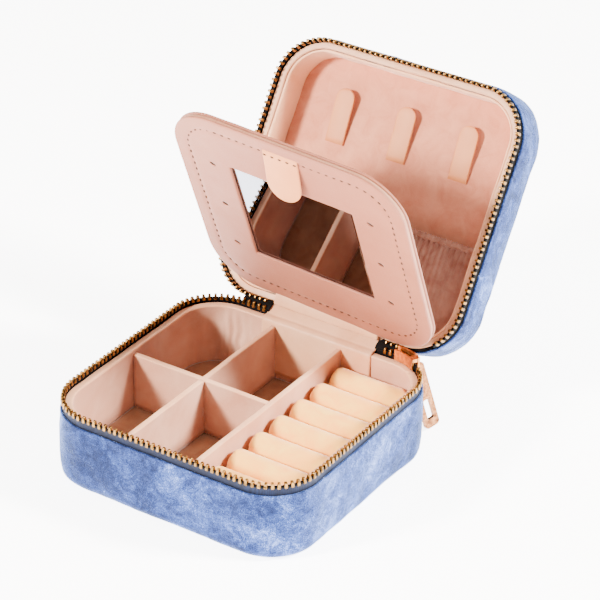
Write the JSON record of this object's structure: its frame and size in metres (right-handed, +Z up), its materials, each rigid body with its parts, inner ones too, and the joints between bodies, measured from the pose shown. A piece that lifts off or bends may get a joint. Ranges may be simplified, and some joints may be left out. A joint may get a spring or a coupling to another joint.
{
  "type": "travel jewelry case",
  "caption": "Square zip-round jewelry case, shown open: divided base with ring rolls, hinged mirror flap, and a lid with necklace hooks and a gathered pocket.",
  "frame": {"origin": "centre of the underside of the base, on the surface that the case stands on", "axes": "+X to the right seen from the front, +Y to the back (the hinge side), +Z up; the lid is open at rest"},
  "size_m": [0.1, 0.1657, 0.1167],
  "materials": {
    "blue_velvet": "crushed velvet pile",
    "grey_board": "grey card",
    "zip_tape": "woven zip tape",
    "antique_brass": "antique brass",
    "copper_gilt": "copper gilt",
    "rose_gilt": "rose gold plate",
    "pink_leatherette": "fine-grained leatherette",
    "pink_velour": "short velour",
    "foam": "open foam",
    "peach_velour": "velour",
    "pocket_fabric": "gathered satin fabric",
    "peach_leatherette": "smooth leatherette",
    "flap_leatherette": "smooth leatherette",
    "flap_edge": "painted edge",
    "mirror_glass": "polished",
    "thread": "sewing thread"
  },
  "bodies": {
    "base": {"base_cover": "blue_velvet", "base_board": "grey_board", "base_tape": "zip_tape", "base_teeth": "antique_brass", "base_liner": "pink_leatherette", "base_floor": "pink_velour", "divider_long": "pink_leatherette", "divider_cross": "pink_leatherette", "ring_wall": "pink_leatherette", "ring_bed": "foam", "ring_roll_1": "peach_velour", "ring_roll_2": "peach_velour", "ring_roll_3": "peach_velour", "ring_roll_4": "peach_velour", "ring_roll_5": "peach_velour", "ring_roll_6": "peach_velour", "ring_roll_7": "peach_velour", "hinge_outer_base": "blue_velvet", "hinge_inner_base": "pink_leatherette"},
    "slider": {"slider_body": "copper_gilt", "slider_crown": "copper_gilt"},
    "pull": {"pull_tab": "rose_gilt"},
    "lid": {"lid_cover": "blue_velvet", "lid_board": "grey_board", "lid_tape": "zip_tape", "lid_teeth": "antique_brass", "lid_liner": "pink_leatherette", "lid_frame": "pink_leatherette", "lid_panel": "pink_velour", "pocket_pouch": "pocket_fabric", "pocket_elastic": "pocket_fabric", "hinge_outer_lid": "blue_velvet", "hinge_inner_lid": "pink_leatherette", "flap_strip": "pink_leatherette"},
    "hook_1": {"hook_strap_1": "peach_leatherette"},
    "hook_2": {"hook_strap_2": "peach_leatherette"},
    "hook_3": {"hook_strap_3": "peach_leatherette"},
    "flap": {"flap_front": "flap_leatherette", "flap_board": "flap_edge", "flap_back": "flap_leatherette", "mirror": "mirror_glass", "flap_stitching": "thread", "tab_root": "peach_leatherette"},
    "tab": {"closure_tab": "peach_leatherette"}
  },
  "joints": [
    {"name": "lid_hinge", "type": "hinge", "parent": "base", "child": "lid", "pos_m": [0, 0.0486, 0.0297], "axis": [-1, 0, 0], "range_deg": [-122.9, 0]},
    {"name": "flap_hinge", "type": "hinge", "parent": "lid", "child": "flap", "pos_m": [0, 0.05154, 0.03387], "axis": [0.9988, 0.0184, -0.0452], "range_deg": [-56.6, 0]},
    {"name": "tab_fold", "type": "hinge", "parent": "flap", "child": "tab", "pos_m": [0.0026, 0.01636, 0.10794], "axis": [-0.9989, 0.0295, 0.0356], "range_deg": [-8.5, 60], "stiffness_Nm_per_rad": 0.001},
    {"name": "slider_travel", "type": "hinge", "parent": "base", "child": "slider", "pos_m": [0.0316, 0.02985, 0.0297], "axis": [0, 0, -1], "range_deg": [0, 5]},
    {"name": "pull_swing", "type": "hinge", "parent": "slider", "child": "pull", "pos_m": [0.03641, 0.05071, 0.0275], "axis": [0.9563, -0.2924, 0], "range_deg": [-4, 14]},
    {"name": "hook_1_flex", "type": "hinge", "parent": "lid", "child": "hook_1", "pos_m": [-0.0255, 0.09437, 0.07394], "axis": [1, 0, 0], "range_deg": [-6.5, 25], "stiffness_Nm_per_rad": 0.001},
    {"name": "hook_2_flex", "type": "hinge", "parent": "lid", "child": "hook_2", "pos_m": [0, 0.09437, 0.07394], "axis": [1, 0, 0], "range_deg": [-6.5, 25], "stiffness_Nm_per_rad": 0.001},
    {"name": "hook_3_flex", "type": "hinge", "parent": "lid", "child": "hook_3", "pos_m": [0.0255, 0.09437, 0.07394], "axis": [1, 0, 0], "range_deg": [-6.5, 25], "stiffness_Nm_per_rad": 0.001}
  ],
  "couplings": [
    {"joint": "flap_hinge", "follows": "lid_hinge", "ratio": 0.46054}
  ]
}
